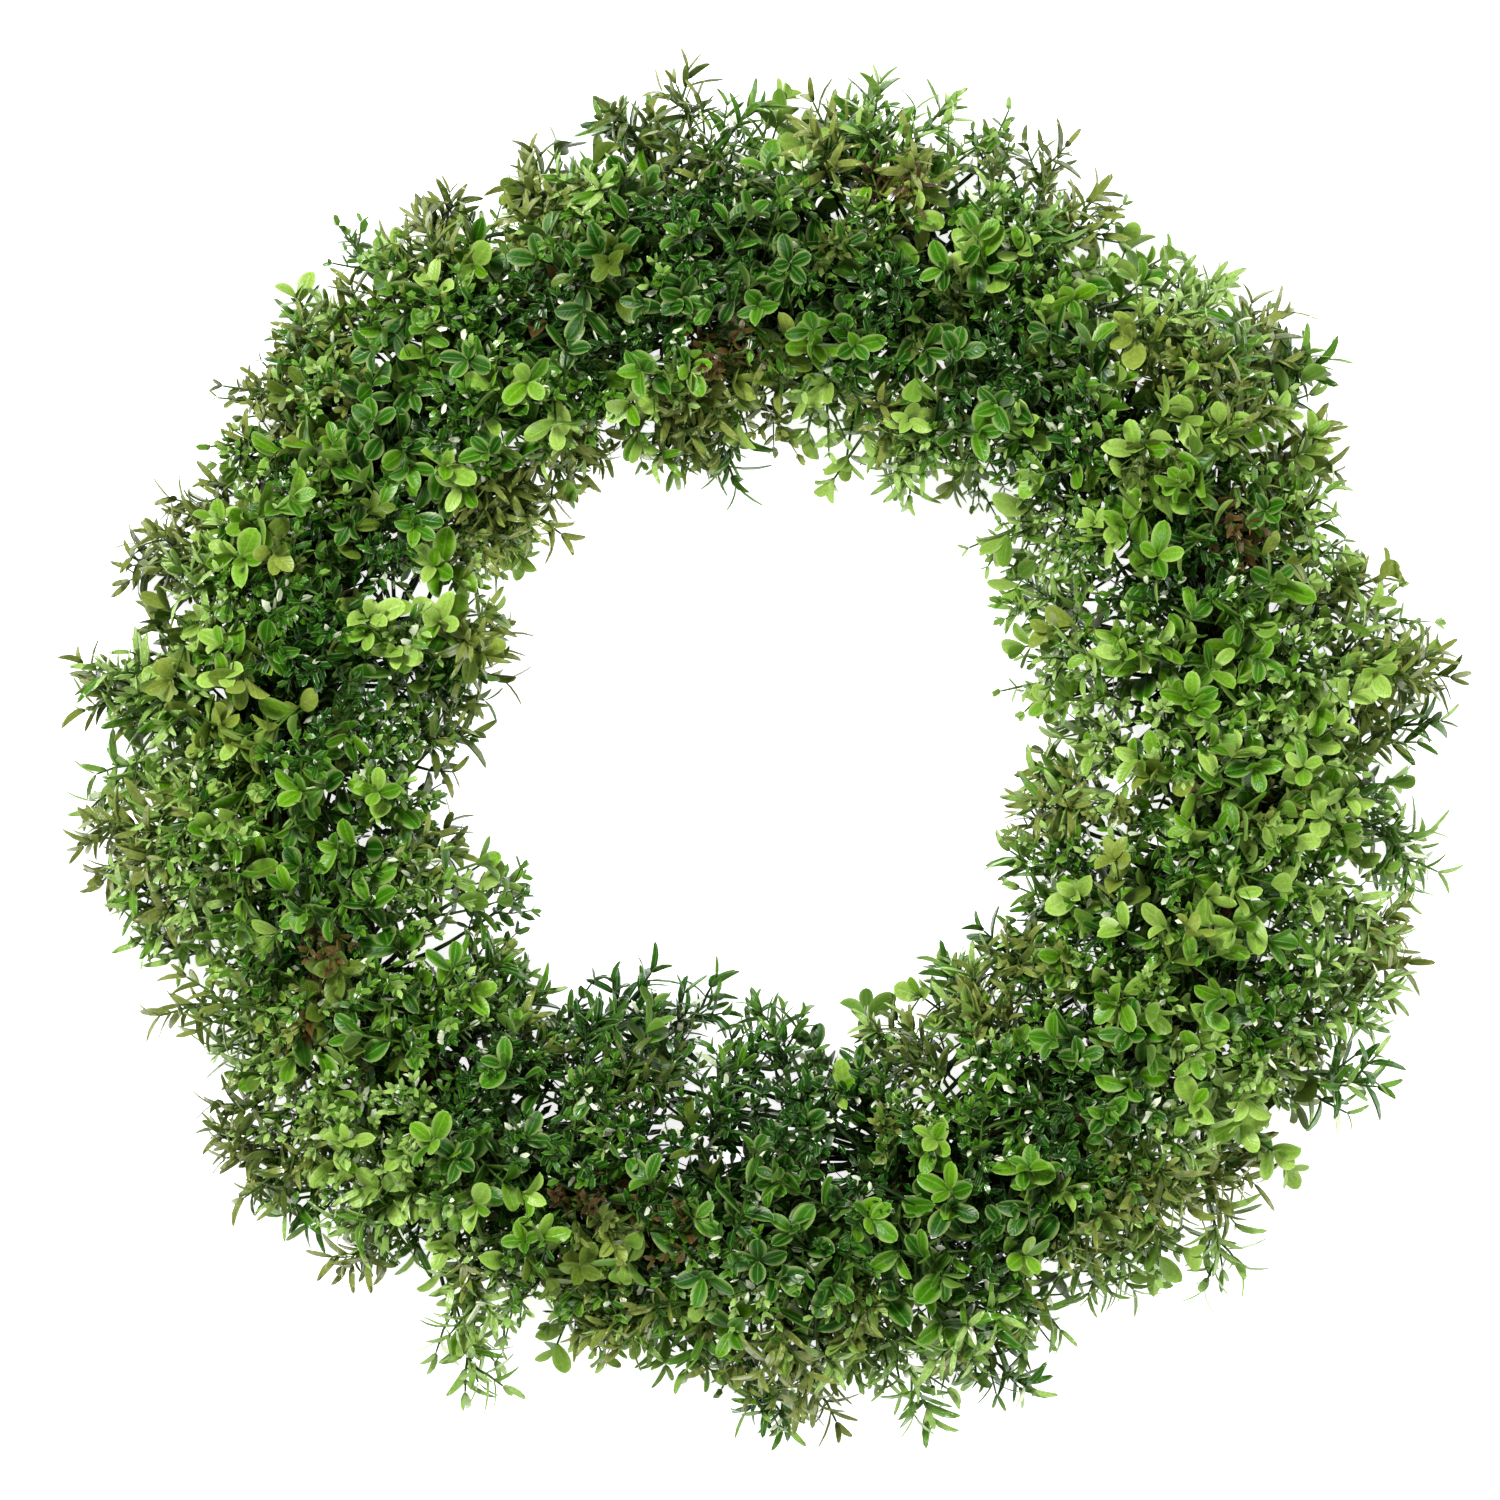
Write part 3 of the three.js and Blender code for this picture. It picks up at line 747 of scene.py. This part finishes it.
def sideTone(angle, lean):
    # the outline is paler, but not low inside the hole, and the front is darker at its top and foot
    inFront = shading["sides"] * math.cos(2 * angle) + shading["front"]
    if math.cos(lean) > 0:
        atEdge = shading["outer"] - shading["outerTop"] * max(0, math.sin(angle))
    else:
        atEdge = shading["inner"] + shading["innerTop"] * math.sin(angle + shading["innerTurn"])
    return mix(inFront, atEdge, nearOutline(lean))


def planShoots():
    draw = random.Random(foliage["seed"])
    plans = []
    span = foliage["highLean"] - foliage["lowLean"]
    for ringNumber in range(foliage["rings"]):
        lean = math.radians(foliage["lowLean"] + span * (ringNumber + 0.5) / foliage["rings"])
        circle = fullTurn * (ring["radius"] + foliage["sideDepth"] * math.cos(lean))
        count = round(circle / foliage["spacing"])
        start = draw.random()
        for number in range(count):
            layers = [1.0]
            if draw.random() < foliage["deepShare"] * mix(outline["deepShare"], 1, facing(lean)):
                layers.append(foliage["deepReach"])
            if draw.random() < foliage["underShare"] and abs(math.cos(lean)) < foliage["underEnds"]:
                layers.append(foliage["underReach"])
            for layer in layers:
                angle = (number + start + stray(draw, 1) * foliage["jitter"]) * fullTurn / count
                tilt = lean + stray(draw, 1) * foliage["jitter"] * math.radians(span / foliage["rings"])
                plans.append(planShoot(draw, angle, tilt, layer))
    return plans


def pickKind(draw, angle, front):
    sector = round(angle / fullTurn * len(broadShares)) % len(broadShares)
    return "boxwood" if draw.random() < broadShares[sector] * mix(broadAtEdge, 1, front) else "fine"


def pickGroup(draw, kind, level, layer):  # which shoots it comes from, and how much further out it stands
    group = kind if layer == 1.0 else kind + "Deep"
    if abs(level) <= outline["starts"]:
        return group, 0
    if group == "fine":
        choice = draw.random()
        if choice < outline["sprays"]:
            reach = outline["sprayReach"] * draw.uniform(*outline["sprayStray"])
            return "spray", reach * (1 if level > 0 else outline["innerSpray"])
        if choice > outline["sprays"] + outline["plain"]:
            group = "fineEdge"
    return group, -outline["outerBack" if level > 0 else "innerBack"]


def pickAxis(draw, outward, front):  # outward, with a turn of its own that isn't too large
    turn = Vector([draw.gauss(0, 1) for _ in range(3)]) * mix(wander["atEdge"], wander["inFront"], front)
    axis = (outward + turn).normalized()
    while axis.dot(outward) < mix(wander["leastOutAtEdge"], wander["leastOutInFront"], front):
        axis = (axis + outward * wander["pull"]).normalized()
    return axis


def planShoot(draw, angle, lean, layer):
    front = facing(lean)
    depth = (depthAt(angle, lean) + tuftAt(angle, lean)) * layer * draw.uniform(*growth["depth"])
    kind = pickKind(draw, angle, front)
    group, further = pickGroup(draw, kind, math.cos(lean), layer)
    tip = onRing(angle, lean, depth + further)
    outward = (tip - onRing(angle, lean, 0)).normalized()
    axis = pickAxis(draw, outward, front)
    # deeper shoots are darker: older leaves, and partly painted shade under the outer foliage
    tone = patchTone(tip, kind) - (shading["deepAgeAndShade"] if layer < 1 else 0)
    tone += shading["base"] + sideTone(angle, lean) + stray(draw, shading["stray"])
    oliveShare = oliveSpots["elsewhere"] + oliveSpots["share"] * isNear(tip, oliveSpots)
    if group == "spray":
        oliveShare += oliveSpots["sprays"]
    family = "olive" if draw.random() < oliveShare else None
    if isNear(tip, drySpots) and tip.z > drySpots["above"]:
        family = "dry" if kind == "fine" or layer < 1 else "olive"
    return {"kind": kind, "group": group, "tip": tip, "axis": axis, "spin": draw.random() * fullTurn,
            "size": draw.uniform(*growth["size"]) * (growth["deepSize"] if layer < 1 else 1.0),
            "pick": draw.random(), "tone": round(tone), "family": family}


def giveShoots(seats, plans):  # each to the nearest sprig of its kind
    for plan in plans:
        middle = plan["tip"] - plan["axis"] * foliage["shootMiddle"]
        nearest = min((s for s in seats if s["kind"] == plan["kind"]),
                      key=lambda s: (onRing(s["angle"], s["lean"], foliage["sprigMiddle"]) - middle).length)
        nearest["shoots"].append(plan)


def layOnSurface(bm):  # what would dip under the surface lies flat on it
    for vert in bm.verts:
        if vert.co.z < droop["start"]:
            below = droop["start"] - vert.co.z
            room = droop["start"] - droop["least"]
            vert.co.z = droop["least"] + room * math.exp(-below / room)


def buildSprig(seat, finishes):
    bm = newShape()
    root = onRing(seat["angle"], seat["lean"], stalk["root"])
    outward = (root - onRing(seat["angle"], seat["lean"], 0)).normalized()
    placed = []
    for shoot in seat["shoots"]:
        library = shoots[shoot["group"]]
        mesh = library[int(shoot["pick"] * len(library))]
        height = max(v.co.z for v in mesh.vertices) * shoot["size"]
        base = shoot["tip"] - shoot["axis"] * height
        turn = shoot["axis"].to_track_quat("Z", "X").to_matrix().to_4x4()
        turn = turn @ Matrix.Rotation(shoot["spin"], 4, "Z")
        placed.append((mesh, Matrix.Translation(base) @ turn @ Matrix.Scale(shoot["size"], 4), shoot))
        reach = (base - root).length
        startPull = root + outward * reach * stalk["startPull"]
        endPull = base - shoot["axis"] * reach * stalk["endPull"]
        points = curvePoints(root, startPull, endPull, base, stalk["steps"])
        growTube(bm, points, stalk["rootRadius"], stalk["endRadius"], stalk["sides"], stalk["column"])
    for mesh, matrix, shoot in placed:
        addCopy(bm, mesh, matrix, shift=shoot["tone"], family=shoot["family"])
    layOnSurface(bm)
    return finishPiece(bm, seat["node"] + "_leaves", finishes)


def finishPiece(bm, name, finishes):
    bmesh.ops.scale(bm, vec=(mm, mm, mm), verts=bm.verts[:])
    mesh = asMesh(bm, name)
    for finish in finishes:
        mesh.materials.append(finish)
    piece = bpy.data.objects.new(name, mesh)
    bpy.context.scene.collection.objects.link(piece)
    return piece


broadFinish = leafFinish("broadLeafFinish", broadLook)
fineFinish = leafFinish("fineLeafFinish", fineLook)
twigBark = twigFinish()

seats = sprigSeats()
giveShoots(seats, planShoots())
faces = 0
for seat in seats:
    broad = seat["kind"] == "boxwood"
    sprig = buildSprig(seat, [broadFinish if broad else fineFinish, twigBark])
    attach(sprig, "root")
    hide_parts(seat["node"])
    faces += trianglesOf(sprig.data)
print("sprigs:", len(seats), "with", sum(len(s["shoots"]) for s in seats), "shoots,", faces, "triangles")


# Vines

vine = {
    "count": 3, "radius": 7, "twist": 8.9, "turns": 6, "steps": 264, "roundness": 5,
    "slimmest": 0.94, "knots": 0.16, "knotNoise": 6, "knotShift": 9, "seed": 100, "drift": 90,
    "ridge": 0.75, "grooveNoise": 0.13, "grooveSquash": 3, "grooves": 0.6,
    "fibreNoise": 2.6, "fibres": 0.7, "sunk": 0.3,
}


def vinePath(index):  # a closed path that twists round the ring's middle line, thicker at its knots
    phase = fullTurn * index / vine["count"]
    path = bpy.data.curves.new(f"vinePath{index + 1}", "CURVE")
    path.dimensions = "3D"
    path.bevel_depth = vine["radius"]
    path.bevel_resolution = vine["roundness"]
    spline = path.splines.new("POLY")
    spline.points.add(vine["steps"] - 1)
    spline.use_cyclic_u = True
    for step, point in enumerate(spline.points):
        angle = fullTurn * step / vine["steps"]
        turned = angle * vine["turns"] + phase
        radius = ring["radius"] + vine["twist"] * math.cos(turned)
        point.co = (radius * math.cos(angle), radius * math.sin(angle),
                    ring["height"] + vine["twist"] * math.sin(turned), 1)
        swell = noise.noise(Vector((angle * vine["knotNoise"], index * vine["knotShift"], 0)))
        point.radius = vine["slimmest"] + vine["knots"] * max(0, swell)
    return path


def buildVine(index, finish):
    carrier = bpy.data.objects.new("vinePath", vinePath(index))
    bpy.context.scene.collection.objects.link(carrier)
    bpy.context.view_layer.update()
    mesh = bpy.data.meshes.new_from_object(carrier.evaluated_get(bpy.context.evaluated_depsgraph_get()))
    bpy.data.objects.remove(carrier)
    bm = bmesh.new()
    bm.from_mesh(mesh)
    bmesh.ops.remove_doubles(bm, verts=bm.verts[:], dist=1e-3)
    bmesh.ops.recalc_face_normals(bm, faces=bm.faces[:])
    bm.normal_update()
    draw = random.Random(vine["seed"] + index)
    drift = Vector((draw.uniform(0, vine["drift"]), 0, 0))
    for vert in bm.verts:
        squashed = Vector((vert.co.x, vert.co.y, vert.co.z * vine["grooveSquash"]))
        grooves = vine["grooves"] * noise.noise(squashed * vine["grooveNoise"] + drift)
        fibres = vine["fibres"] * noise.noise(vert.normal * vine["fibreNoise"] + drift)
        vert.co += vert.normal * vine["ridge"] * (grooves + fibres - vine["sunk"])
        vert.co.z = max(vert.co.z, 0)
    for face in bm.faces:
        face.smooth = True
    return finishPiece(bm, f"vine_{index + 1}_bark", [finish])


bark = barkFinish()
for index in range(vine["count"]):
    piece = buildVine(index, bark)
    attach(piece, "root")
    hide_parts(f"vine_{index + 1}")
print("vines:", vine["count"])


# Floor, light and camera, in metres

studio = {"floorSize": 12, "floor": (0.93, 0.93, 0.92, 1), "floorRoughness": 0.9, "floorGlow": 0.82,
          "surroundings": 0.33}
lights = {"key": {"place": (-0.8, 0.9, 2.0), "size": 0.45, "power": 72},
          "fill": {"place": (1.3, -0.6, 1.6), "size": 1.0, "power": 29}}
view = {"distance": 2.6, "middle": 0.03, "width": 0.601, "right": -0.0024, "up": 0.002, "sensor": 36,
        "farthest": 20}


def plainFloor():
    bm = bmesh.new()
    bmesh.ops.create_grid(bm, x_segments=1, y_segments=1, size=studio["floorSize"])
    mesh = asMesh(bm, "floor")
    floor = bpy.data.objects.new("floor", mesh)
    bpy.context.scene.collection.objects.link(floor)
    finish = Finish("paleFloor")
    finish.wear(Base_Color=studio["floor"], Roughness=studio["floorRoughness"],
                Emission_Color=(1, 1, 1, 1), Emission_Strength=studio["floorGlow"])
    mesh.materials.append(finish.material)


def softLight(name, light):  # turned to the wreath
    data = bpy.data.lights.new(name, "AREA")
    data.energy = light["power"]
    data.size = light["size"]
    lamp = bpy.data.objects.new(name, data)
    lamp.location = light["place"]
    lamp.rotation_euler = (-Vector(light["place"])).to_track_quat("-Z", "Y").to_euler()
    bpy.context.scene.collection.objects.link(lamp)


def whiteSurroundings():
    world = bpy.data.worlds.new("studio")
    world.use_nodes = True
    background = world.node_tree.nodes["Background"]
    background.inputs["Color"].default_value = (1, 1, 1, 1)
    background.inputs["Strength"].default_value = studio["surroundings"]
    bpy.context.scene.world = world
    bpy.context.scene.view_settings.view_transform = "Standard"


def overheadCamera():
    data = bpy.data.cameras.new("camera")
    data.sensor_width = view["sensor"]
    data.lens = view["sensor"] * view["distance"] / view["width"]
    data.clip_end = view["farthest"]
    camera = bpy.data.objects.new("camera", data)
    camera.location = (view["right"], view["up"], view["middle"] + view["distance"])
    bpy.context.scene.collection.objects.link(camera)
    bpy.context.scene.camera = camera


plainFloor()
for name, light in lights.items():
    softLight(name, light)
whiteSurroundings()
overheadCamera()
print("stage ready")
